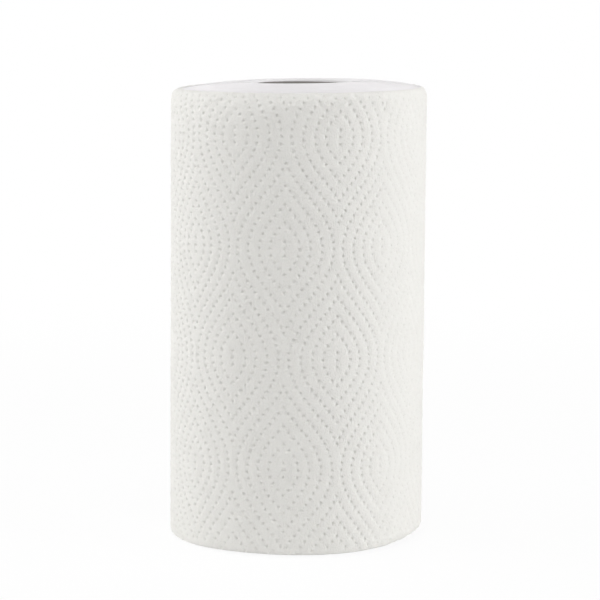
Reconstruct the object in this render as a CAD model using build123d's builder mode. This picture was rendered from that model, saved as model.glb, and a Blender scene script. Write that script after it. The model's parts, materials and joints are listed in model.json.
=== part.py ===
from build123d import *

import math
import os

# Paper towel roll, standing on its end, in millimetres with +Z up.
# The origin is on the roll's axis, at the level of the surface it stands on.

# Overall size of the roll: its height at the tube's rim, and its width across the side
roll_height = 220.0
roll_diameter = 123.0

# Paperboard tube that the sheet is wound on, a little shorter than the paper at both ends
core_bore = 44.0
core_wall = 0.8
core_recess_top = 1.7
core_recess_bottom = 0.5

# Top end: a shallow cone, because the inner turns stand a little higher than the outer ones
top_end_fall = 2.4

# Soft edges, where the outer turns are pressed over: how far in from the side and along the roll
top_edge_in = 8.0
top_edge_drop = 7.0
bottom_edge_in = 4.5
bottom_edge_rise = 7.0
soft_edge_flats = 4

# Bundles of turns that sit lower than their neighbours, seen in both ends as one spiral band
band_pitch = 4.9
band_width = 2.4
band_depth = 0.5
band_margin = 1.8

# Free edge of the last turn, behind the right side of the roll, and where its step has faded out
sheet_thickness = 0.6
tail_angle = 20.0
tail_fade_angle = 84.0

roll_radius = roll_diameter / 2
core_radius = core_bore / 2 + core_wall
shoulder_height = roll_height - top_end_fall
top_end_radius = roll_radius - top_edge_in
bottom_end_radius = roll_radius - bottom_edge_in


def soft_edge(centre_height, edge_in, edge_along):
    """Corners of a pressed edge, on a quarter ellipse from the end of the roll to its side."""
    corners = []
    for flat in range(soft_edge_flats + 1):
        turn = math.pi / 2 * flat / soft_edge_flats
        across = roll_radius - edge_in + edge_in * math.sin(turn)
        corners.append((across, centre_height + edge_along * math.cos(turn)))
    return corners


def spiral_wall(first_radius, half_turns):
    """One wall of the band, drawn as half circles about two centres a half pitch apart."""
    for half_turn in range(half_turns):
        side = half_turn % 2
        centre = (side - 0.5) * band_pitch / 2
        CenterArc((centre, 0), first_radius + half_turn * band_pitch / 2, 180 * side, 180)


def spiral_band(outer_radius):
    """Outline of the low band, which winds in whole turns from near the tube to a radius."""
    first_radius = core_radius + band_margin
    turns = int((outer_radius - band_margin - band_width - first_radius) / band_pitch)
    start = first_radius - band_pitch / 4
    end = start + turns * band_pitch
    with BuildSketch() as band:
        with BuildLine():
            spiral_wall(first_radius, 2 * turns)
            Line((end, 0), (end + band_width, 0))
            spiral_wall(first_radius + band_width, 2 * turns)
            Line((start + band_width, 0), (start, 0))
        make_face()
    return band.sketch


# Core tube: plain wound paperboard
with BuildPart() as core_tube:
    with BuildSketch(Plane.XY.offset(core_recess_bottom)):
        Circle(core_radius)
        Circle(core_bore / 2, mode=Mode.SUBTRACT)
    extrude(amount=roll_height - core_recess_top - core_recess_bottom)

# Low band of the top end, kept to one depth below the sloping end
with BuildPart() as top_band:
    with BuildSketch(Plane.XY.offset(shoulder_height - band_depth)):
        add(spiral_band(top_end_radius))
    extrude(amount=top_end_fall + 2 * band_depth)
    with BuildSketch(Plane.XZ):
        with BuildLine():
            Polyline(
                (0, 0),
                (top_end_radius, 0),
                (top_end_radius, shoulder_height - band_depth),
                (core_radius, roll_height - band_depth),
                (0, roll_height - band_depth),
                close=True,
            )
        make_face()
    revolve(axis=Axis.Z, mode=Mode.SUBTRACT)

# Wound paper: half of its section turned about the axis
with BuildPart() as towel_roll:
    with BuildSketch(Plane.XZ):
        with BuildLine():
            Polyline(
                (core_radius, 0),
                (core_radius, roll_height),
                *soft_edge(shoulder_height - top_edge_drop, top_edge_in, top_edge_drop),
                *reversed(soft_edge(bottom_edge_rise, bottom_edge_in, -bottom_edge_rise)),
                close=True,
            )
        make_face()
    revolve(axis=Axis.Z)

    # Tail: past the free edge the side steps in by one sheet, and comes back out along an arc
    with BuildSketch():
        with BuildLine():
            outside = CenterArc(
                (0, 0),
                roll_radius + sheet_thickness,
                tail_angle,
                tail_fade_angle - tail_angle,
            )
            fade_end = outside @ 1 * (roll_radius / (roll_radius + sheet_thickness))
            edge_foot = outside @ 0 * ((roll_radius - sheet_thickness) / (roll_radius + sheet_thickness))
            Line(outside @ 1, fade_end)
            TangentArc(fade_end, edge_foot, tangent=-(outside % 1))
            Line(edge_foot, outside @ 0)
        make_face()
    extrude(amount=roll_height, mode=Mode.SUBTRACT)

    # Low bands of both ends
    add(top_band.part, mode=Mode.SUBTRACT)
    with BuildSketch():
        add(spiral_band(bottom_end_radius))
    extrude(amount=band_depth, mode=Mode.SUBTRACT)

core_tube.part.label = "core_tube"
towel_roll.part.label = "towel_roll"

os.makedirs("parts", exist_ok=True)
export_step(core_tube.part, "parts/core_tube.step")
export_step(towel_roll.part, "parts/towel_roll.step")
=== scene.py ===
# %% [markdown]
# A roll of paper towel is one long embossed sheet, wound on a paperboard tube.
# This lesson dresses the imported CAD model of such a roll, piece by piece, in Blender.
# The CAD model is the frame: it gives the sizes, and every piece made here rides on it.

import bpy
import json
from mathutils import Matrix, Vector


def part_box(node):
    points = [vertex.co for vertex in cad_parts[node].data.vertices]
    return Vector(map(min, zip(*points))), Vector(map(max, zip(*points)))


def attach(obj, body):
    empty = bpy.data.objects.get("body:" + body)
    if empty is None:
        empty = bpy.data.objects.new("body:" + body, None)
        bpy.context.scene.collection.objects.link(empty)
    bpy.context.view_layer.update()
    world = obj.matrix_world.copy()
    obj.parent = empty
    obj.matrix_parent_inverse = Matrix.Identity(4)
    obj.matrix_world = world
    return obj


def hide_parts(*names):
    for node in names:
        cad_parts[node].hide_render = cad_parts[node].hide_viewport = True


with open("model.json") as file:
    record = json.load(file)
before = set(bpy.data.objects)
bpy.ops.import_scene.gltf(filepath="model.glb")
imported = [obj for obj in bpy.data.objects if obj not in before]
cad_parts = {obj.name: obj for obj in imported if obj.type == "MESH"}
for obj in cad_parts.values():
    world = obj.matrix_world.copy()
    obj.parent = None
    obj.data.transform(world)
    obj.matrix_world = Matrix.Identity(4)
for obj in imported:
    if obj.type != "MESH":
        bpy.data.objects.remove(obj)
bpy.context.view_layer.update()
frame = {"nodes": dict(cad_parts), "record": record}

# %% Bring in Blender's own tools
import json
import math

import bpy
import numpy as np
from mathutils import Matrix, Vector, kdtree
from mathutils.geometry import delaunay_2d_cdt

scene = bpy.context.scene
mm = 0.001
print("Nodes in the frame:", sorted(frame["nodes"]))

# %% [markdown]
# The sizes come from the frame and not from a ruler on the picture: the box of the wound
# paper gives the roll's radius and height, and the box of the tube gives its own.

# %% Read the sizes from the frame
roll_low, roll_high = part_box("towel_roll")
tube_low, tube_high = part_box("core_tube")
roll_radius = (roll_high[0] - roll_low[0]) / 2
roll_height = roll_high[2] - roll_low[2]
tube_radius = (tube_high[0] - tube_low[0]) / 2
tube_bottom, tube_top = tube_low[2], tube_high[2]
print(f"Roll {2 * roll_radius / mm:.1f} mm across and {roll_height / mm:.1f} mm high")
print(f"Tube {2 * tube_radius / mm:.1f} mm across, up to {tube_top / mm:.1f} mm")

# %% [markdown]
# The camera stands well back with a long lens, as in a product photograph, and looks
# slightly down. Its place was worked out from the outline of the roll, so it is given
# in roll radii from the roll's foot: to the right, forward and up.

# %% Set up the camera
camera_place = Vector((0.0234, -23.6118, 4.9489)) * roll_radius
camera_pitch, camera_roll = 0.13023, 0.0087
lens_pixels, frame_pixels, sensor_width = 3014.97, 600, 36.0

camera_data = bpy.data.cameras.new("camera")
camera_data.sensor_width = sensor_width
camera_data.lens = lens_pixels / frame_pixels * sensor_width
camera_data.clip_end = 100.0
camera = bpy.data.objects.new("camera", camera_data)
scene.collection.objects.link(camera)
camera.matrix_world = (
    Matrix.Translation(camera_place)
    @ Matrix.Rotation(math.pi / 2 - camera_pitch, 4, "X")
    @ Matrix.Rotation(camera_roll, 4, "Z")
)
scene.camera = camera
print(f"Lens {camera_data.lens:.1f} mm, {camera_place.length:.2f} m from the roll's foot")

# %% [markdown]
# Soft paper never keeps a perfect edge. On this roll the outer turns are pressed over:
# on the left the top edge is wide and low, on the right it is narrower and a bit taller,
# and at the front left it is a tall soft shoulder. The bottom edge is almost sharp in
# front, and on the right it is pressed in and round.
# A bevel would round both edges, but by the same size all the way round. So each edge is
# a quarter ellipse whose two sizes change smoothly round the roll, from a value on the
# left to one on the right, with a little more or less about a third angle.
# The inner turns stick out a little at both ends, so the bottom edge is just off the
# ground, most on the right, and the top end is a low dome. The top end is a hair lower on
# the left, it stands up a little in front, and the foot is a trace slimmer on the left.

# %% Say how the edges change round the roll
shoulder_height = 3.5325 * roll_radius
dome_rise, dome_power = 0.0468 * roll_radius, 2.9
top_tilt = 0.0188
front_lift, front_lift_power = 0.0269, 3
slim_foot = 0.0025
# The higher a power, the more its change keeps to one side of the roll.
more_power = 8
edge_sizes = {
    # name: (on the left, on the right, power of the change, more, about which angle)
    "top in": (0.090, 0.058, 1, 0.0445, -100),
    "top drop": (0.002, 0.088, 1, 0.255, -132),
    "bottom in": (0.024, 0.14, 9, -0.020, -105),
    "bottom rise": (0.080, 0.045, 9, -0.063, -105),
    "bottom lift": (0.0030, 0.050, 5, 0.013, -105),
}


def edge_size(name, angle):
    """One size of an edge in metres, at one angle of the roll."""
    left, right, power, more, middle = edge_sizes[name]
    change = (right - left) * ((1 + np.cos(angle)) / 2) ** power
    more = more * ((1 + np.cos(angle - math.radians(middle))) / 2) ** more_power
    return roll_radius * (left + change + more)


for name in edge_sizes:
    ends = edge_size(name, np.array([math.pi, 0.0])) / mm
    print(f"{name}: {ends[0]:.1f} mm on the left, {ends[1]:.1f} mm on the right")

# %% [markdown]
# The whole outside of the roll is one curve turned round the axis: along the bottom,
# round the bottom edge, up the side, round the top edge, and up a low dome to the bore.
# A sheet of paper doesn't stretch, so a place on it is given by its distance along this
# curve, called `across`. On the straight side it is simply the height.

# %% Draw the curve of the roll at many angles
curve_angles = np.linspace(-math.pi, math.pi, 361)
floor_count, bend_count, dome_count = 15, 41, 60
# The straight side lies between these two points of the curve.
side_low = floor_count + bend_count - 1
side_high = side_low + 1


def roll_curve(angle):
    """Radius and height along the roll's half section at one angle, from bore to bore."""
    top_in, top_drop = edge_size("top in", angle), edge_size("top drop", angle)
    bottom_in, bottom_rise = edge_size("bottom in", angle), edge_size("bottom rise", angle)
    bottom_lift = edge_size("bottom lift", angle)
    bend = np.linspace(0, math.pi / 2, bend_count)
    foot_radius = roll_radius * (1 - slim_foot * (1 - np.cos(angle))) - bottom_in
    floor_radius = np.linspace(tube_radius, foot_radius, floor_count + 1)
    outward = (floor_radius - tube_radius) / (foot_radius - tube_radius)
    shoulder_radius = roll_radius - top_in
    end_radius = np.linspace(shoulder_radius, tube_radius, dome_count + 1)[1:]
    inward = (end_radius - tube_radius) / (shoulder_radius - tube_radius)
    radius = np.concatenate([
        floor_radius[:-1],
        foot_radius + bottom_in * np.sin(bend),
        shoulder_radius + top_in * np.cos(bend),
        end_radius,
    ])
    in_front = ((1 - np.sin(angle)) / 2) ** front_lift_power
    top_lean = top_tilt * np.cos(angle) + front_lift * in_front
    height = np.concatenate([
        bottom_lift * outward[:-1] ** 2,
        bottom_lift + bottom_rise - bottom_rise * np.cos(bend),
        shoulder_height - top_drop + top_drop * np.sin(bend),
        shoulder_height + dome_rise * (1 - inward**dome_power),
    ])
    height[side_high:] += top_lean * radius[side_high:]
    return radius, height


sample_radius, sample_height = roll_curve(0.0)
print(f"{len(sample_radius)} points on each curve, highest {sample_height.max() / mm:.2f} mm")

# %% Lay a ruler along every curve
ruler_from, ruler_to, ruler_step = -60.0, 275.0, 0.25
ruler = np.arange(ruler_from, ruler_to, ruler_step) * mm
surface_radius = np.empty((len(curve_angles), len(ruler)))
surface_height = np.empty_like(surface_radius)
bore_top = np.empty(len(curve_angles))
bore_bottom = np.empty(len(curve_angles))
for row, angle in enumerate(curve_angles):
    radius, height = roll_curve(angle)
    along = np.concatenate([[0], np.cumsum(np.hypot(np.diff(radius), np.diff(height)))])
    along += height[side_low] - along[side_low]
    surface_radius[row] = np.interp(ruler, along, radius)
    surface_height[row] = np.interp(ruler, along, height)
    bore_bottom[row], bore_top[row] = along[0], along[-1]
radius_slope = np.gradient(surface_radius, ruler, axis=1)
height_slope = np.gradient(surface_height, ruler, axis=1)
print(f"From rim to rim {(bore_top - bore_bottom).mean() / mm:.1f} mm along the curve")


# %% Find a place on the roll from its angle and its distance along the curve
def beside(*columns):
    """Columns of numbers put side by side. A single number is repeated all the way down."""
    return np.stack(np.broadcast_arrays(*columns), axis=1)


def look_up(table, angle, across):
    """A value from a table over angle and distance, mixed from the four nearest entries."""
    turn = (angle + math.pi) % (2 * math.pi)
    row = turn / (2 * math.pi) * (len(curve_angles) - 1)
    column = np.clip((across - ruler[0]) / (ruler[1] - ruler[0]), 0, len(ruler) - 2)
    row_low = np.clip(row.astype(int), 0, len(curve_angles) - 2)
    column_low = column.astype(int)
    row_part, column_part = row - row_low, column - column_low
    low, high = (
        table[row_low, side] * (1 - row_part) + table[row_low + 1, side] * row_part
        for side in (column_low, column_low + 1)
    )
    return low * (1 - column_part) + high * column_part


def roll_points(angle, across, outward, inset=0.0):
    """Points on the roll, moved outward from its surface and inset towards its axis."""
    angle, across = np.broadcast_arrays(np.asarray(angle, float), np.asarray(across, float))
    slope_r = look_up(radius_slope, angle, across)
    slope_z = look_up(height_slope, angle, across)
    length = np.maximum(np.hypot(slope_r, slope_z), 1e-6)
    radius = look_up(surface_radius, angle, across) + outward * slope_z / length - inset
    height = look_up(surface_height, angle, across) - outward * slope_r / length
    return beside(radius * np.cos(angle), radius * np.sin(angle), height)


front_middle = roll_points(np.array([-math.pi / 2]), np.array([roll_height / 2]), 0.0)
print("Middle of the front, in mm:", np.round(front_middle / mm, 2).tolist())

# %% [markdown]
# The sheet is wound clockwise as seen from above, and its free edge stands a little
# behind the right side. Every turn lies one sheet thickness further in than the one over
# it, so the radius shrinks slowly along the sheet and there is a real step at the edge.
# Towels are 230 mm long, so one row of perforations also shows on the last turn.
# The tube isn't quite in the middle at the top: the turns are a little tighter to its
# right, so the whole bore leans by a hair.

# %% Say how the sheet is wound
tail_angle = math.radians(20)
turn_pitch = 0.45 * mm
towel_length = 230 * mm
sheet_low, sheet_high = 0.5 * mm, 219.5 * mm
turn_length = 2 * math.pi * roll_radius
bore_lean = 1.6 * mm


def wound_angle(along):
    """Angle on the roll of a place on the sheet, from its distance to the free edge."""
    return tail_angle - along / roll_radius


print(f"The perforations are at {math.degrees(wound_angle(towel_length)) % 360:.1f} degrees")

# %% [markdown]
# The emboss is a common one: rows of small round dots that run round pointed ovals.
# The ovals stand in columns, and each second column is shifted by half a step, so that
# neighbours nest into each other like waves. Each flank is a part of a cosine wave, and
# the two outer rings are pinched in towards their points.
# The steel pins that press real dots are evenly spaced along every ring, and the roller
# repeats one oval, so one oval is worked out here and then repeated.

# %% Measure one oval of dots
column_step = 0.4117 * roll_radius
half_drop = 0.8486 * roll_radius
first_axis = -0.0978 * roll_radius
first_centre = 0.6752 * roll_radius
centre_dot_step = 0.0560 * roll_radius
flank_samples = 200
oval_rings = {
    # dots: (half width in column steps, top in roll radii, share of a wave, pinch)
    16: (0.2737, 0.1965, 0.33, 0.0),
    28: (0.4766, 0.3359, 0.56, 0.0),
    42: (0.6915, 0.4811, 0.62, -0.085),
    56: (0.9087, 0.6464, 0.33, -0.566),
}


def ring_dots(count, half_width, top, wave_share, pinch):
    """Dots of one ring about the oval's centre, evenly spaced from its top point."""
    rise = np.sin(np.linspace(math.pi / 2, 0, flank_samples))
    wave = (1 - np.cos(math.pi * wave_share * rise)) / (1 - math.cos(math.pi * wave_share))
    width = 1 - wave + pinch * rise**2 * (1 - rise**2)
    side = beside(width * half_width * column_step, rise * top * roll_radius)
    half = np.vstack([side, (side * [1, -1])[::-1][1:]])
    loop = np.vstack([half, (half * [-1, 1])[::-1][1:]])
    along = np.concatenate([[0], np.cumsum(np.hypot(*np.diff(loop, axis=0).T))])
    places = along[-1] * np.arange(count) / count
    return beside(*(np.interp(places, along, loop[:, axis]) for axis in (0, 1)))


oval = [np.array([[0, -centre_dot_step], [0, 0], [0, centre_dot_step]])]
oval += [ring_dots(count, *shape) for count, shape in oval_rings.items()]
oval = np.vstack(oval)
print(f"{len(oval)} dots in one oval")

# %% [markdown]
# A sheet is pulled unevenly when it is wound, so its columns of ovals aren't quite
# evenly spaced over the front, and its rows climb a little. The pull is a small cubic
# in the angle from the front, and it stays constant round the back.

# %% Repeat the oval over the whole sheet
front_along = (tail_angle + math.pi / 2) * roll_radius
pull_limit, middle_level = 1.25, 1.8
sheet_columns, sheet_rows = range(-12, 6), range(-1, 4)
dot_margin = 1.4 * mm


def pulled(sideways, across):
    """Where the pulled sheet has a dot, from its distance to the front and its level."""
    turn = np.clip(sideways / roll_radius, -pull_limit, pull_limit)
    level = across / roll_radius - middle_level
    side_pull = -0.0168 * turn**2 - 0.0447 * turn**3 - 0.0022 * turn * level + 0.0037 * level**2
    climb = -0.0067 * turn - 0.0056 * turn**2 + 0.0199 * turn**3 - 0.003 * turn * level**2
    return sideways + side_pull * roll_radius, across + climb * roll_radius


def sheet_dots(start, end):
    """Dots between two distances from the free edge, as (along, across) on the sheet."""
    dots = []
    for column in sheet_columns:
        for row in sheet_rows:
            centre = first_centre + (2 * row + column % 2) * half_drop
            dots.append(oval + [first_axis + column * column_step, centre])
    sideways, across = pulled(*np.vstack(dots).T)
    dots = beside(front_along - sideways, across)
    keep = (dots[:, 0] > start + dot_margin) & (dots[:, 0] < end - dot_margin)
    keep &= (dots[:, 1] > sheet_low + dot_margin) & (dots[:, 1] < sheet_high - dot_margin)
    return dots[keep]


print(f"{len(sheet_dots(0, turn_length))} dots on the outer turn")

# %% [markdown]
# Handling leaves marks. Under the top edge, and in two places lower down, the sheet is
# creased: each crease is a short soft ridge, or a furrow where its height is below zero.
# They are given to the nearest millimetre.

# %% List the creases of the front
creases = [
    # from (right of the middle, above the foot) to (right, above), half width, height: all in mm
    (8, 219, 8, 216, 1.6, 0.40),
    (9, 218, 10, 213, 0.9, -0.30),
    (10, 213, 13, 209, 0.9, -0.30),
    (13, 209, 9, 204, 0.9, -0.22),
    (6, 206, 13, 208, 0.9, 0.12),
    (26, 219, 20, 211, 0.8, 0.22),
    (54, 219, 56, 212, 0.9, -0.18),
    (-38, 215, -50, 211, 0.9, -0.28),
    (-37, 217, -48, 213, 1.1, 0.18),
    (-17, 217, -7, 218, 1.4, 0.20),
    (-14, 214, -8, 215, 0.9, -0.15),
    (-37, 205, -32, 210, 0.9, -0.15),
    (3, 195, 22, 196, 1.0, 0.10),
    (15, 202, 26, 201, 1.0, 0.09),
    (-8, 102, 2, 102, 1.0, -0.25),
    (-9, 99, 1, 99, 1.3, 0.42),
    (-6, 96, 2, 96, 1.0, 0.26),
    (-6, 113, -6, 107, 2.6, -0.22),
    (17, 103, 26, 69, 1.1, 0.10),
    (-30, 107, -22, 121, 0.9, 0.08),
    (-24, 101, -14, 119, 0.9, 0.08),
]
crease_margin = 0.6 * mm


def crease_lift(along, across):
    """How far the creases lift the sheet off the roll."""
    right, above = (front_along - along) / mm, across / mm
    lift = np.zeros(np.shape(above))
    for right_from, above_from, right_to, above_to, width, height in creases:
        run = np.array([right_to - right_from, above_to - above_from])
        length = math.hypot(*run)
        ahead = ((right - right_from) * run[0] + (above - above_from) * run[1]) / length
        aside = ((right - right_from) * run[1] - (above - above_from) * run[0]) / length
        beyond = np.maximum(np.abs(ahead - length / 2) - length / 2, 0)
        lift = lift + height * np.exp(-(aside**2 + beyond**2) / width**2)
    return lift * mm


def crease_points(start, end):
    """Extra points along both sides and the middle of every crease, to keep it crisp."""
    points = []
    for right_from, above_from, right_to, above_to, width, _ in creases:
        run = np.array([right_to - right_from, above_to - above_from])
        length = math.hypot(*run)
        steps = np.linspace(0, 1, int(length) + 2)[:, None]
        side = np.array([-run[1], run[0]]) / length * width
        points += [[right_from, above_from] + steps * run + side * share for share in (-1, 0, 1)]
    points = np.vstack(points) * mm
    points[:, 0] = front_along - points[:, 0]
    keep = (points[:, 0] > start) & (points[:, 0] < end)
    return points[keep & (points[:, 1] < sheet_high - crease_margin)]


print(f"{len(creases)} creases")

# %% [markdown]
# The dots could be a bump in the finish, but a bump leaves the outline smooth and casts
# no shade of its own. So each dot is real geometry: a point at its bottom and three
# rings of eight points. Between the dots the paper swells into a soft pillow, so plain
# points are spread there too, and more of them near both edges, where the sheet bends.

# %% Spread the points of a flat sheet
dot_depth = 0.49 * mm
# A ring of a dot is given by its radius and its share of the dot's depth.
dot_rings = ((0.42 * mm, 0.92), (0.76 * mm, 0.20), (1.10 * mm, -0.11))
dot_sides = 8
point_gap, edge_point_gap, row_gap_share = 2.0 * mm, 1.1 * mm, 0.9
border_step_along, border_step_across = 1.4 * mm, 1.0 * mm


def smooth_step(value, low, high):
    """0 below the low value, 1 above the high one, and a smooth rise between them."""
    part = np.clip((value - low) / (high - low), 0, 1)
    return part * part * (3 - 2 * part)


def point_rows(start, end, low, high, groove_shade):
    """Points in staggered rows over one rectangle of the sheet."""
    rows = max(2, int(round((high - low) / (groove_shade * row_gap_share))))
    columns = int(round((end - start) / groove_shade))
    across = np.linspace(low, high, rows)
    points = []
    for row, level in enumerate(across):
        along = start + (np.arange(columns) + 0.5 * (row % 2) + 0.25) * (end - start) / columns
        points.append(beside(along, level))
    return np.vstack(points)


def border_points(start, end):
    """Points along the four edges of the sheet."""
    along_count = int(round((end - start) / border_step_along)) + 1
    across_count = int(round((sheet_high - sheet_low) / border_step_across)) + 1
    along = np.linspace(start, end, along_count)
    across = np.linspace(sheet_low, sheet_high, across_count)[1:-1]
    low, high = beside(along, sheet_low), beside(along, sheet_high)
    return np.vstack([low, high, beside(start, across), beside(end, across)])


print(f"Up to {1 + dot_sides * len(dot_rings)} points in each dot")

# %% Press the dots, a little unevenly
depth_least, depth_most = 0.92, 1.06
edge_wear, right_wear = 0.4, 0.6
worn_below_top, worn_above_foot = 5 * mm, 6 * mm
dot_scatter = 0.03 * mm


def worn(along):
    """1 where handling has pressed the dots flatter, on the right side, and 0 elsewhere."""
    right = front_along - along
    return smooth_step(right, 22 * mm, 58 * mm) * (1 - smooth_step(right, 72 * mm, 100 * mm))


def dot_points(dots, chance):
    """The points of every dot, the bottoms first and then ring by ring, with their pits."""
    depth = dot_depth * chance.uniform(depth_least, depth_most, len(dots))
    depth *= 1 - edge_wear * smooth_step(dots[:, 1], sheet_high - worn_below_top, sheet_high)
    depth *= 1 - edge_wear * smooth_step(-dots[:, 1], -worn_above_foot, -sheet_low)
    depth *= 1 - right_wear * worn(dots[:, 0])
    centres = dots + chance.normal(0, dot_scatter, dots.shape)
    points, pits = [centres], [depth]
    for number, (radius, share) in enumerate(dot_rings):
        for side in range(dot_sides):
            turn = 2 * math.pi * (side + 0.5 * (number % 2)) / dot_sides
            points.append(centres + radius * np.array([math.cos(turn), math.sin(turn)]))
            pits.append(depth * share)
    return points, pits


print(f"Dots up to {dot_depth * depth_most / mm:.2f} mm deep")

# %% Swell the paper between the dots
pillow_height = 0.26 * mm
pillow_from, pillow_to = 1.2 * mm, 2.8 * mm
grain_height = 0.015 * mm
point_room = 1.45 * mm
point_scatter_in_mm = 0.15
edge_zone = 14 * mm
border_inset, border_room = 1.2 * mm, 0.5 * mm


def pillow_points(start, end, dots, chance):
    """Points between the dots, with their pits, which are below zero on a pillow."""
    tree = kdtree.KDTree(len(dots))
    for number, (along, across) in enumerate(dots):
        tree.insert((along, across, 0), number)
    tree.balance()

    first, last = start + border_inset, end - border_inset
    low, high = sheet_low + border_inset, sheet_high - border_inset
    inner_low, inner_high = sheet_low + edge_zone, sheet_high - edge_zone
    plain = np.vstack([
        point_rows(first, last, inner_low, inner_high, point_gap),
        point_rows(first, last, low, inner_low - border_inset, edge_point_gap),
        point_rows(first, last, inner_high + border_inset, high, edge_point_gap),
        crease_points(start, end),
    ])
    inside = (plain[:, 0] > start + border_room) & (plain[:, 0] < end - border_room)
    plain = plain[inside]
    plain += chance.uniform(-point_scatter_in_mm, point_scatter_in_mm, plain.shape) * mm
    room = np.array([tree.find((along, across, 0))[2] for along, across in plain])
    keep = room > point_room
    plain, room = plain[keep], room[keep]
    pillow = -pillow_height * smooth_step(room, pillow_from, pillow_to)
    pillow += chance.normal(0, grain_height, len(pillow))
    return plain, pillow


print(f"Pillows up to {pillow_height / mm:.2f} mm high")

# %% [markdown]
# Points on a round roll are hard to join into good triangles, and points on a flat
# sheet are easy: Blender's own Delaunay function does it. So the sheet is joined flat
# first, as the real one is embossed flat, and is wound onto the roll afterwards.

# %% Join the points into a flat sheet of triangles
join_within = 1e-7
overlap = 6 * mm


def flat_sheet(start, end, seed):
    """Points, pit depth of each point, and triangles of a flat piece of embossed sheet."""
    chance = np.random.default_rng(seed)
    dots = sheet_dots(start, end)
    points, pits = dot_points(dots, chance)
    border = border_points(start, end)
    plain, pillow = pillow_points(start, end, dots, chance)
    points = np.vstack(points + [border, plain])
    pits = np.concatenate(pits + [np.zeros(len(border)), pillow])
    flat = [Vector((along / mm, across / mm)) for along, across in points]
    triangles = np.array(delaunay_2d_cdt(flat, [], [], 0, join_within, False)[2])
    print(f"{len(dots)} dots, {len(points)} points, {len(triangles)} triangles")
    return points, pits, triangles


last_flat = flat_sheet(0.0, towel_length, seed=11)
next_flat = flat_sheet(towel_length, turn_length + overlap, seed=12)

# %% [markdown]
# A soft roll is never quite round. The whole side is a little uneven, the top edge has small
# wrinkles where it was pressed over, and the free edge stands slightly off the roll.
# Plain noise would look crumpled all over. Paper bends in smooth folds, so these are
# sums of a few waves, and the long ones fade out at the cut edge, which the turns hold.

# %% Bend the sheet as a handled sheet is bent
waves = {
    # name: (seed, shortest wave, longest wave, how many)
    "swell": (21, 50 * mm, 120 * mm, 5),
    "crumple": (22, 12 * mm, 30 * mm, 6),
    "wrinkle": (23, 5 * mm, 14 * mm, 6),
}
swell_height, crumple_height = 0.06 * mm, 0.035 * mm
wrinkle_height, front_wrinkle_height, wrinkle_slant = 0.04 * mm, 0.08 * mm, 0.4
wrinkle_reach, front_reach = 2.6 * mm, 45 * mm
top_held, foot_held = 8 * mm, 5 * mm
loose_length, loose_height = 16 * mm, 0.5 * mm
loose_wave_height, loose_wave_length, loose_wave_start = 0.25 * mm, 31 * mm, 0.6


def soft_waves(name, along, across):
    """A smooth uneven field between about -1 and 1, from a few waves across the sheet."""
    seed, shortest, longest, count = waves[name]
    chance = np.random.default_rng(seed)
    field = np.zeros(np.shape(along))
    for _ in range(count):
        length_along, length_across = chance.uniform(shortest, longest, 2)
        slant = chance.uniform(-1, 1)
        phase = chance.uniform(0, 2 * math.pi)
        field += np.sin(
            2 * math.pi * (along / length_along + slant * across / length_across) + phase
        )
    return field / math.sqrt(count)


def sheet_lift(along, across):
    """How far the sheet stands off the ideal roll, apart from its dots."""
    held = 1 - np.exp((across - sheet_high) / top_held)
    swell = swell_height * soft_waves("swell", along, across) * held
    crumple = crumple_height * soft_waves("crumple", along, across)
    crumple = crumple * (1 - np.exp(-across / foot_held)) * held
    edge = np.exp((across - sheet_high) / wrinkle_reach)
    front = np.exp(-(((along - front_along) / front_reach) ** 2))
    wrinkle = (wrinkle_height + front_wrinkle_height * front) * edge
    wrinkle = wrinkle * soft_waves("wrinkle", along, across * wrinkle_slant)
    loose = np.clip(1 - along / loose_length, 0, 1) ** 2
    wave = loose_wave_height * np.sin(across / loose_wave_length + loose_wave_start)
    tail = loose * held * (loose_height + wave)
    return swell + crumple + wrinkle + tail + crease_lift(along, across)


print(f"Free edge off the roll by {sheet_lift(0.0, roll_height / 2) / mm:.2f} mm half way up")

# %% [markdown]
# A finish needs many shader nodes, and wiring them one at a time is hard to read.
# A small class wraps a socket, so that sums are written as plain Python, and one method
# makes any other node from its type, settings and inputs.

# %% Make shader nodes easy to write
class Wire:
    """An output socket of a material. Sums and products of wires add Math nodes."""

    def __init__(self, tree, socket):
        self.tree = tree
        self.socket = socket

    def node(self, kind, settings=None, inputs=None, output=0):
        """A new node: its settings first, then its input sockets. Returns one output."""
        made = self.tree.nodes.new(kind)
        for name, value in (settings or {}).items():
            if name == "stops":
                ramp = made.color_ramp.elements
                while len(ramp) < len(value):
                    ramp.new(0.5)
                for stop, (place, shade) in zip(ramp, value):
                    stop.position = place
                    stop.color = (shade, shade, shade, 1)
            else:
                setattr(made, name, value)
        for name, value in (inputs or {}).items():
            if isinstance(value, Wire):
                self.tree.links.new(value.socket, made.inputs[name])
            else:
                made.inputs[name].default_value = value
        return Wire(self.tree, made.outputs[output] if made.outputs else None)

    def math(self, operation, other):
        """A Math node on this wire and another wire or a number."""
        return self.node("ShaderNodeMath", {"operation": operation}, {0: self, 1: other})

    def __add__(self, other):
        return self.math("ADD", other)

    def __sub__(self, other):
        return self.math("SUBTRACT", other)

    def __mul__(self, other):
        return self.math("MULTIPLY", other)


def new_finish(name):
    """An empty material and the wire that its first nodes are made from."""
    material = bpy.data.materials.new(name)
    material.use_nodes = True
    material.node_tree.nodes.clear()
    return material, Wire(material.node_tree, None)


def paint(red, green, blue):
    """A colour as the eye names it, 0 to 255, turned into the light that it reflects."""
    shares = [part / 255 for part in (red, green, blue)]
    light = [s / 12.92 if s <= 0.04045 else ((s + 0.055) / 1.055) ** 2.4 for s in shares]
    return (*light, 1.0)


paper_white = paint(238, 237, 233)
print("White paper reflects", [round(part, 3) for part in paper_white[:3]])


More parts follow.
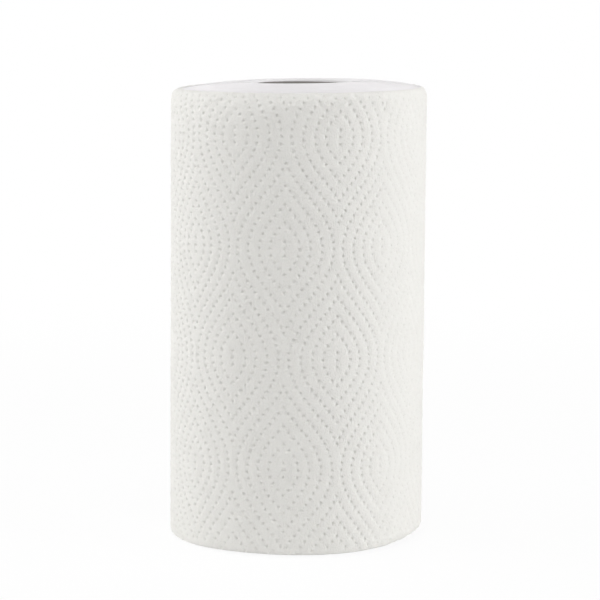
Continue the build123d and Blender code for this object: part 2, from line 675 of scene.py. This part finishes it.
# %% Name the steps that every finish repeats
def stored(wire, name, output):
    """A value that the points of a piece carry: its place on the sheet, or its darkening, which is
    painted shade on the paper and the seam on the tube.
    """
    return wire.node("ShaderNodeAttribute", {"attribute_name": name}, output=output)


def stretched(wire, place, factors):
    """A place with its three numbers scaled, so that noise on it is drawn out."""
    return wire.node("ShaderNodeVectorMath", {"operation": "MULTIPLY"}, {0: place, 1: factors})


def noise(wire, place, scale, detail):
    """Soft random shades about 0.5. A larger scale makes them finer."""
    return wire.node("ShaderNodeTexNoise", {}, {"Vector": place, "Scale": scale, "Detail": detail})


def mixed(wire, share, first, second):
    """The first colour where the share is 0, the second where it is 1."""
    inputs = {0: share, 6: first, 7: second}
    return wire.node("ShaderNodeMix", {"data_type": "RGBA"}, inputs, output=2)


def close_finish(wire, colour, roughness, specular, relief, strength, distance):
    """The last nodes of a finish: a bump for what is finer than the mesh, and the shader."""
    bump = {"Strength": strength, "Distance": distance, "Height": relief}
    surface = {
        "Base Color": colour,
        "Roughness": roughness,
        "Normal": wire.node("ShaderNodeBump", {}, bump),
        "Specular IOR Level": specular,
    }
    shader = wire.node("ShaderNodeBsdfPrincipled", {}, surface)
    wire.node("ShaderNodeOutputMaterial", {}, {"Surface": shader})
    print(f"{len(wire.tree.nodes)} nodes in this finish")


print("Five steps are shared by the finishes")

# %% [markdown]
# Towel tissue is matt and faintly warm. Its fibres give a very fine grain, and creping
# on the drying cylinder leaves tiny ridges that run up the roll.
# The bottom of each dot is painted darker: painted shade in the pit, over the shade that its real
# depth gives.
# A picture of tissue would go soft close up, and noise stays fine at any distance. The
# dots are geometry already, so the bump only adds what is finer than the mesh.

# %% Mix the finish of the embossed side
side_paper, wire = new_finish("embossed_paper")
place = stored(wire, "sheet", "Vector")
press = stored(wire, "press", "Fac")
fibres = noise(wire, stretched(wire, place, (1.0, 0.6, 1.0)), 1.7, 4.0)
crepe = noise(wire, stretched(wire, place, (1.0, 0.7, 1.0)), 0.7, 2.0)
cloud = noise(wire, place, 0.12, 3.0)
# Painted shade: the stored value darkens the bottom of each dot, and the cut edges a little.
tone = press * 0.11 + (cloud - 0.5) * 0.3 + (fibres - 0.5) * 0.72
colour = mixed(wire, tone, paper_white, paint(200, 198, 192))
relief = fibres * 0.7 + crepe * 0.3
close_finish(wire, colour, 0.95, 0.25, relief, strength=1.0, distance=0.68 * mm)
# %% [markdown]
# The ends show the cut edges of many turns. They are smoother and a little cooler than the side,
# and their paper is painted a little lighter than the side's: painted light for the brightly lit
# top end. The grooves between the turns are painted darker: painted shade.

# %% Mix the finish of the cut ends
end_paper, wire = new_finish("cut_paper")
place = stored(wire, "sheet", "Vector")
groove_shade = stored(wire, "press", "Fac")
fuzz = noise(wire, place, 2.2, 4.0)
cloud = noise(wire, place, 0.08, 2.0)
# Painted shade: the groove value darkens the grooves between the turns.
tone = groove_shade * 0.15 + (fuzz - 0.5) * 0.25 + (cloud - 0.5) * 0.2
# The lighter colour is painted light for the brightly lit top end.
colour = mixed(wire, tone, paint(243, 241, 242), paint(198, 195, 196))
close_finish(wire, colour, 0.96, 0.2, fuzz, strength=0.3, distance=0.2 * mm)
# %% [markdown]
# The tube is grey board made from waste paper. It is speckled with fibres of other
# colours, and long streaks follow the strip that it was wound from.

# %% Mix the finish of the tube's board
tube_board, wire = new_finish("grey_board")
place = stored(wire, "sheet", "Vector")
seam = stored(wire, "press", "Fac")
streaks = noise(wire, stretched(wire, place, (0.12, 1.0, 1.0)), 0.9, 5.0)
grain = noise(wire, place, 3.0, 5.0)
fleck_field = noise(wire, place, 1.1, 6.0)
fleck_stops = [(0.62, 0.0), (0.72, 1.0)]
flecks = wire.node("ShaderNodeValToRGB", {"stops": fleck_stops}, {"Fac": fleck_field})
tone = (streaks - 0.5) * 0.9 + (grain - 0.5) * 0.6 + 0.45
board_colour = mixed(wire, tone, paint(164, 160, 156), paint(128, 124, 120))
board_colour = mixed(wire, flecks * 0.5 + seam * 0.45, board_colour, paint(84, 82, 80))
relief = streaks * 0.6 + grain * 0.4
close_finish(wire, board_colour, 0.82, 0.3, relief, strength=0.5, distance=0.15 * mm)
# %% [markdown]
# Every piece is made the same way. One helper makes the mesh, stores the place on the sheet and its
# darkening for the finish to read, which is painted shade on the paper and the seam on the tube,
# and says what the piece rides on and which CAD node it stands for.

# %% Turn points and faces into a finished piece
sharp_angle = math.radians(55)


def make_piece(name, points, faces, sheet, press, finish, slot, node):
    """Makes a piece of the roll that rides on its one body and replaces a CAD node."""
    mesh = bpy.data.meshes.new(name)
    mesh.from_pydata(np.asarray(points).tolist(), [], faces)
    mesh.attributes.new("sheet", "FLOAT_VECTOR", "POINT")
    mesh.attributes["sheet"].data.foreach_set("vector", (np.asarray(sheet) / mm).ravel())
    mesh.attributes.new("press", "FLOAT", "POINT")
    mesh.attributes["press"].data.foreach_set("value", np.asarray(press, float))
    mesh.shade_smooth()
    mesh.set_sharp_from_angle(angle=sharp_angle)
    mesh.materials.append(finish)
    piece = bpy.data.objects.new(name, mesh)
    scene.collection.objects.link(piece)
    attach(piece, "root")
    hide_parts(node)
    print(f"{name}: {sum(len(face) - 2 for face in faces)} triangles")


print(f"Edges over {math.degrees(sharp_angle):.0f} degrees stay sharp")

# %% [markdown]
# Now the flat sheets are wound. The cut edges get a thin wall, so that the paper has a
# thickness, and the free edge gets an underside too, because one can look beneath it.
# A perforation is a row of short slits with tiny bridges between them.

# %% Wind a flat sheet onto the roll
sheet_thickness = 0.4 * mm
on_edge = 1e-7
slit_step, bridge_width = 9.0 * mm, 1.4 * mm
# The rows of the cut edges and the underside beneath the free edge get a little painted shade.
edge_shade = 0.15


def slit_share(across):
    """1 inside a slit of a perforation and 0 on the bridges between the slits."""
    from_bridge = np.abs((across + slit_step / 2) % slit_step - slit_step / 2)
    return smooth_step(from_bridge, bridge_width / 2, bridge_width)


def wind(along, across, outward):
    """Points of the wound sheet, each turn lying one thickness inside the one over it."""
    inset = turn_pitch * along / turn_length
    return roll_points(wound_angle(along), across, outward, inset)


def ordered(points, axis, level):
    """Numbers of the points on one edge of the flat sheet, in order along it."""
    found = np.flatnonzero(np.abs(points[:, axis] - level) < on_edge)
    return found[np.argsort(points[found, 1 - axis])]


def add_row(piece, edge, along, across, outward, flip):
    """Joins an edge to a new row of points, and returns the numbers of the new row."""
    first = len(piece["points"])
    row = list(range(first, first + len(edge)))
    piece["points"] = np.vstack([piece["points"], wind(along, across, outward)])
    piece["sheet"] = np.vstack([piece["sheet"], beside(along, across, 0.0)])
    piece["press"] = np.concatenate([piece["press"], np.full(len(edge), edge_shade)])
    for one, two, three, four in zip(edge, edge[1:], row[1:], row):
        piece["faces"].append((one, four, three, two) if flip else (one, two, three, four))
    return row


print(f"{slit_share(np.linspace(0, roll_height, 2000)).mean() * 100:.0f}% of a perforation is slit")

# %% Build the two outer towels
tooth_length, slit_pull = 0.45 * mm, 0.07 * mm
slit_sink, slit_dip = 0.06 * mm, 0.22 * mm
underside_width, tuck_width = 9 * mm, 2 * mm


def wound_towel(name, flat):
    """One towel of the outer turn, with its dots, its cut edges and its row of slits."""
    points, pits, triangles = flat
    along, across = points[:, 0].copy(), points[:, 1]
    outward = sheet_lift(along, across) - pits
    tail = ordered(points, 0, 0.0)
    slits = ordered(points, 0, towel_length)
    has_tail = len(tail) > 0
    along[tail] += tooth_length * slit_share(across[tail])
    pull = slit_pull * slit_share(across[slits])
    along[slits] += -pull if has_tail else pull
    outward[slits] -= slit_sink + slit_dip * slit_share(across[slits])
    piece = {
        "points": wind(along, across, outward),
        "sheet": beside(along, across, 0.0),
        # Painted shade: the deeper a point lies in a dot, the darker it is painted; the pillows get
        # none.
        "press": np.clip(pits / dot_depth, 0, 1),
        "faces": [(a, c, b) for a, b, c in triangles.tolist()],
    }
    for level, flip in ((sheet_low, False), (sheet_high, True)):
        edge = ordered(points, 1, level)
        add_row(piece, edge, along[edge], across[edge], outward[edge] - sheet_thickness, not flip)
    if has_tail:
        inner = outward[tail] - sheet_thickness
        edge = add_row(piece, tail, along[tail], across[tail], inner, False)
        beneath, level = along[tail] + underside_width, across[tail]
    else:
        edge, beneath, level = slits, along[slits] - tuck_width, across[slits]
    add_row(piece, edge, beneath, level, np.full(len(edge), -turn_pitch), False)
    make_piece(name, **piece, finish=side_paper, slot="towel_paper", node="towel_roll")


wound_towel("last_towel", last_flat)
wound_towel("next_towel", next_flat)

# %% [markdown]
# An end of the roll is the cut edge of the same sheet, going round and round.
# A set of closed rings would be simpler, but the real edge is one strip, and its start
# shows at the free edge. So it is one long spiral, with a ridge for each turn and a groove
# beside it, and some turns sit a little lower than their neighbours.

# %% Make every turn a little different
end_turns, end_columns = 82, 420
end_steps = end_turns * end_columns
bundle_depth, bundle_from = 0.07 * mm, 4.0
ridge_depth = 0.03 * mm
groove_depth, groove_spread = 0.15 * mm, 0.09 * mm
fade_turns = 2.0


def slow_noise(knots, seed):
    """Smooth random values between about -1 and 1 along the spiral."""
    values = np.random.default_rng(seed).uniform(-1, 1, knots + 3)
    place = np.linspace(1, knots + 1, end_steps + 1)
    low = np.clip(place.astype(int), 1, knots)
    part = smooth_step(place, low, low + 1)
    return values[low] * (1 - part) + values[low + 1] * part


def turn_levels(turn, fade, seed):
    """How far the ridge of each turn and the groove beside it stand off the smooth end."""
    away = smooth_step(turn, 0.0, bundle_from)
    bundle = bundle_depth * away * (slow_noise(end_turns // 3, seed + 1) - 1)
    ridge = bundle + ridge_depth * (slow_noise(end_turns * 9, seed + 2) - 1)
    groove = ridge - (groove_depth + groove_spread * slow_noise(end_turns * 4, seed + 3))
    return ridge * fade, groove * fade


def ring(radius, angle, height):
    """Points at one radius round the leaning bore."""
    sideways = radius * np.cos(angle) + bore_lean * height / roll_height
    return beside(sideways, radius * np.sin(angle), height)


def end_faces(first):
    """Faces of the spiral and of the extra rows, from the first number of each row."""
    faces = []
    for k in range(end_steps):
        faces.append((2 * k, 2 * k + 2, 2 * k + 3, 2 * k + 1))
    for k in range(end_steps - end_columns):
        far = 2 * (k + end_columns)
        faces.append((2 * k + 1, 2 * k + 3, far + 2, far))
    for k in range(end_columns):
        faces.append((first[0] + k, first[0] + k + 1, 2 * k + 2, 2 * k))
        low = 2 * (end_steps - end_columns + k) + 1
        faces.append((low, low + 2, first[1] + k + 1, first[1] + k))
        for one, two in zip(first[1:], first[2:]):
            faces.append((one + k, one + k + 1, two + k + 1, two + k))
    return faces


print(f"{end_turns} turns in each end, with {end_columns} points round each")

# %% Wind the cut ends as one long spiral each
turn_drift, settle_turns = 0.16, 8
end_sink = 0.05 * mm
grain_radius = 40 * mm
tuck_depth, tuck_inset = 1.2 * mm, 0.35 * mm
lip_size = 1.15 * mm
lip_bends = np.radians([18, 36, 54, 72, 90])
bore_gap, tube_overlap = 0.02 * mm, 0.6 * mm


def cut_end(name, top, seed):
    """The spiral of one end, from under the outer sheet's edge to the wall of the bore."""
    down = 1 if top else -1
    edge = sheet_high if top else sheet_low
    step = np.arange(end_steps + 1)
    turn = step / end_columns
    angle = tail_angle - 2 * math.pi * step / end_columns
    half_turn = (angle + math.pi) % (2 * math.pi) - math.pi
    rim = np.interp(half_turn, curve_angles, bore_top if top else bore_bottom)
    rim = rim - down * lip_size
    drift = turn_drift * slow_noise(end_turns * 5, seed) * np.clip(turn, 0, 1)
    inside = np.clip((turn + drift) / end_turns, 0, 1)
    middle = np.clip((turn + 0.5 + drift) / end_turns, 0, 1)
    inset = turn_pitch * np.minimum(turn, 1) * np.exp(-turn / settle_turns)
    fade = smooth_step(end_turns - turn, 0.0, fade_turns)
    ridge, groove = turn_levels(turn, fade, seed)
    points, sheet, press = [], [], []
    # The groove half of each turn gets painted shade, the ridge half none.
    for share, outward, dark in ((inside, ridge, 0.0), (middle, groove, 1.0)):
        across = edge + share * (rim - edge)
        place = roll_points(angle, across, outward - end_sink, inset)
        place[:, 0] += bore_lean * share * place[:, 2] / roll_height
        points.append(place)
        sheet.append(beside(-angle * grain_radius, across, 0.0))
        press.append(dark * fade)
    points = np.stack(points, axis=1).reshape(-1, 3)
    sheet = np.stack(sheet, axis=1).reshape(-1, 3)
    press = np.stack(press, axis=1).ravel()

    tuck_angle, wall_angle = angle[: end_columns + 1], angle[-end_columns - 1:]
    tuck_level = edge - down * tuck_depth
    tuck = roll_points(tuck_angle, tuck_level, -tuck_inset, inset[: end_columns + 1])
    rows = [(tuck_angle, tuck)]
    wall_radius = tube_radius + bore_gap
    wall_top = look_up(surface_height, wall_angle, rim[-end_columns - 1:] + down * lip_size)
    for bend in lip_bends:
        radius = wall_radius + lip_size * (1 - math.sin(bend))
        level = wall_top - down * lip_size * (1 - math.cos(bend))
        rows.append((wall_angle, ring(radius, wall_angle, level)))
    wall_level = tube_top - tube_overlap if top else tube_bottom + tube_overlap
    rows.append((wall_angle, ring(wall_radius, wall_angle, wall_level)))

    first = [len(points) + number * (end_columns + 1) for number in range(len(rows))]
    for row_angle, row_points in rows:
        place = beside(-row_angle * grain_radius, row_points[:, 2], 0.0)
        points, sheet = np.vstack([points, row_points]), np.vstack([sheet, place])
    press = np.concatenate([press, np.zeros(len(points) - len(press))])
    faces = end_faces(first)
    if top:
        faces = [face[::-1] for face in faces]
    make_piece(name, points, faces, sheet, press, end_paper, "towel_paper", "towel_roll")


cut_end("top_turns", True, 31)
cut_end("bottom_turns", False, 41)

# %% [markdown]
# The tube is wound from strips of board, so a seam climbs round its inside like a screw
# thread, and its rim shows the plies. A seam cut across a straight mesh would need many
# points. Here each line of points climbs with the seam, so it stays crisp with few.
# The turns have slipped down by a hair, so here the tube stands up a little further.

# %% Draw the section of the tube
bore_radius = frame["record"]["mounts"][0]["dims"]["r_mm"] * mm
strip_width = 76 * mm
strip_climb = math.asin(strip_width / (2 * math.pi * bore_radius))
climb_per_turn = 2 * math.pi * bore_radius * math.tan(strip_climb)
ply = (tube_radius - bore_radius) / 3
turns_slip = 0.7 * mm
rim_level = tube_top + turns_slip
inner_levels = np.linspace(tube_bottom + 0.1 * mm, rim_level - 0.1 * mm, 56)
outer_levels = np.linspace(rim_level - 0.08 * mm, tube_bottom + 0.08 * mm, 30)
top_rim = [
    # (radius, level), over three plies with a fine step between them
    (bore_radius + 0.06 * mm, rim_level - 0.02 * mm),
    (bore_radius + ply * 0.92, rim_level),
    (bore_radius + ply, rim_level - 0.1 * mm),
    (bore_radius + ply * 1.08, rim_level - 0.01 * mm),
    (bore_radius + ply * 1.92, rim_level - 0.02 * mm),
    (bore_radius + ply * 2, rim_level - 0.12 * mm),
    (bore_radius + ply * 2.08, rim_level),
    (tube_radius - 0.06 * mm, rim_level - 0.02 * mm),
]
bottom_rim = [(radius, tube_bottom + rim_level - level) for radius, level in reversed(top_rim)]
section = [(bore_radius, level) for level in inner_levels] + top_rim
section += [(tube_radius, level) for level in outer_levels] + bottom_rim
section = np.array(section)
print(f"{len(section)} points in the section, seam climbs {climb_per_turn / mm:.0f} mm a turn")

# %% Wind the paperboard tube from its section
even_columns = np.arange(0, 120) * 3.0 + 1.5
seam_columns = np.array([-0.9, -0.35, -0.12, 0.0, 0.5])
seam_columns = np.concatenate([seam_columns, seam_columns + 180.0]) % 360
columns = np.sort(np.concatenate([even_columns, seam_columns]))
seam_depth, seam_degrees = 0.16 * mm, 0.45
rim_zone, rim_wear = 0.3 * mm, 0.05 * mm
ply_stretch = 4


def wound_tube():
    """The tube, with a seam along each strip's edge and plies in its rims."""
    from_seam = (columns + 90) % 180 - 90
    dent = seam_depth * np.exp(-((from_seam / seam_degrees) ** 2))
    chance = np.random.default_rng(51)
    points, sheet, press = [], [], []
    for column, depth in zip(columns, dent):
        radius, level = section[:, 0].copy(), section[:, 1].copy()
        inner = radius < bore_radius + 0.01 * mm
        radius[inner] += depth
        rim = (level > rim_level - rim_zone) & ~inner
        level[rim] -= rim_wear * chance.uniform(0, 1)
        angle = np.radians(column) + 2 * math.pi * level / climb_per_turn
        points.append(ring(radius, angle, level))
        ahead = level / math.sin(strip_climb)
        aside = np.radians(column) * bore_radius * math.sin(strip_climb)
        sheet.append(beside(ahead, aside, radius * ply_stretch))
        press.append(np.where(inner, depth / seam_depth, 0.0))
    count, total = len(section), len(columns)
    faces = []
    for column in range(total):
        for row in range(count):
            here, above = column * count, (column + 1) % total * count
            after = (row + 1) % count
            faces.append((here + row, here + after, above + after, above + row))
    make_piece(
        "wound_tube", np.vstack(points), faces, np.vstack(sheet), np.concatenate(press),
        tube_board, "core_board", "core_tube",
    )


wound_tube()

# %% [markdown]
# The roll stands on a white ground, as in a shop's picture. The ground is mostly white of
# its own to the camera, and only a part of what shows is lit, so that the shadow stays
# as a faint trace. Further off, where no lamp reaches, it is white of its own alone.
# To all other light it is a plain pale floor.

# %% Lay the floor
floor_size = 40.0
white_share = 0.93
fade_from, fade_to = 0.25, 0.9


def show_to_camera(wire):
    """1 for light that the camera sees directly, in a mirror or through glass."""
    seen = wire.node("ShaderNodeLightPath", {}, {}, output="Is Camera Ray")
    path = seen.socket.node
    for name in ("Is Glossy Ray", "Is Transmission Ray"):
        seen = seen.math("MAXIMUM", Wire(wire.tree, path.outputs[name]))
    return seen


floor_finish, wire = new_finish("white_ground")
lit = wire.node("ShaderNodeBsdfDiffuse", {}, {"Color": (0.95, 0.95, 0.95, 1.0)})
glow = wire.node("ShaderNodeEmission", {}, {"Color": (1.0, 1.0, 1.0, 1.0), "Strength": 1.0})
spot = wire.node("ShaderNodeTexCoord", {}, {}, output="Object")
distance = wire.node("ShaderNodeVectorMath", {"operation": "LENGTH"}, {0: spot}, output="Value")
far = wire.node(
    "ShaderNodeMapRange",
    {"interpolation_type": "SMOOTHSTEP"},
    {"Value": distance, "From Min": fade_from, "From Max": fade_to},
)
share = show_to_camera(wire) * (far * (1 - white_share) + white_share)
ground = wire.node("ShaderNodeMixShader", {}, {0: share, 1: lit, 2: glow})
wire.node("ShaderNodeOutputMaterial", {}, {"Surface": ground})

floor_mesh = bpy.data.meshes.new("floor")
half = floor_size / 2
floor_mesh.from_pydata(
    [(-half, -half, 0), (half, -half, 0), (half, half, 0), (-half, half, 0)], [], [(0, 1, 2, 3)]
)
floor_mesh.materials.append(floor_finish)
floor = bpy.data.objects.new("floor", floor_mesh)
scene.collection.objects.link(floor)
print(f"Floor {floor_size:.0f} m square")

# %% [markdown]
# The light is soft: most of it comes from the two sides, less from above and from behind,
# and none of it level from the front, so the middle of the side is a little greyer than
# its edges.

# %% Light the roll
world_level = 0.17
world = bpy.data.worlds.new("soft_room")
scene.world = world
world.use_nodes = True
world.node_tree.nodes.clear()
wire = Wire(world.node_tree, None)
room = wire.node("ShaderNodeBackground", {}, {"Color": (1, 1, 1, 1), "Strength": world_level})
white = wire.node("ShaderNodeBackground", {}, {"Color": (1, 1, 1, 1), "Strength": 1.0})
sky = wire.node("ShaderNodeMixShader", {}, {0: show_to_camera(wire), 1: room, 2: white})
wire.node("ShaderNodeOutputWorld", {}, {"Surface": sky})

lamps = {
    # name: (degrees right of the front, distance, height, width, tall, watts)
    "right_side": (95, 2.2, 0.35, 0.9, 1.4, 13.3),
    "right_front": (70, 2.2, 0.35, 0.9, 1.4, 24.4),
    "left_rim": (-125, 2.2, 0.35, 0.9, 1.4, 14.8),
    "left_side": (-95, 2.2, 0.35, 0.9, 1.4, 4.4),
    "left_front": (-70, 2.2, 0.35, 0.9, 1.4, 17.3),
    "high_front": (0, 1.1, 2.0, 1.0, 1.0, 10.3),
    "high_left": (-90, 1.1, 2.0, 1.0, 1.0, 5.8),
    "overhead": (0, 0.3, 2.0, 1.0, 1.0, 8.5),
    "back": (180, 2.4, 0.5, 1.4, 1.2, 11.0),
}
target = Vector((0, 0, roll_height / 2))
for name, (right_of_front, distance, height, width, tall, power) in lamps.items():
    lamp_data = bpy.data.lights.new(name, "AREA")
    lamp_data.shape = "RECTANGLE"
    lamp_data.size, lamp_data.size_y = width, tall
    lamp_data.energy = power
    lamp = bpy.data.objects.new(name, lamp_data)
    turn = math.radians(right_of_front)
    lamp.location = (distance * math.sin(turn), -distance * math.cos(turn), height)
    lamp.rotation_euler = (target - lamp.location).to_track_quat("-Z", "Y").to_euler()
    scene.collection.objects.link(lamp)
scene.view_settings.view_transform = "Standard"
print("Lamps:", ", ".join(lamps))
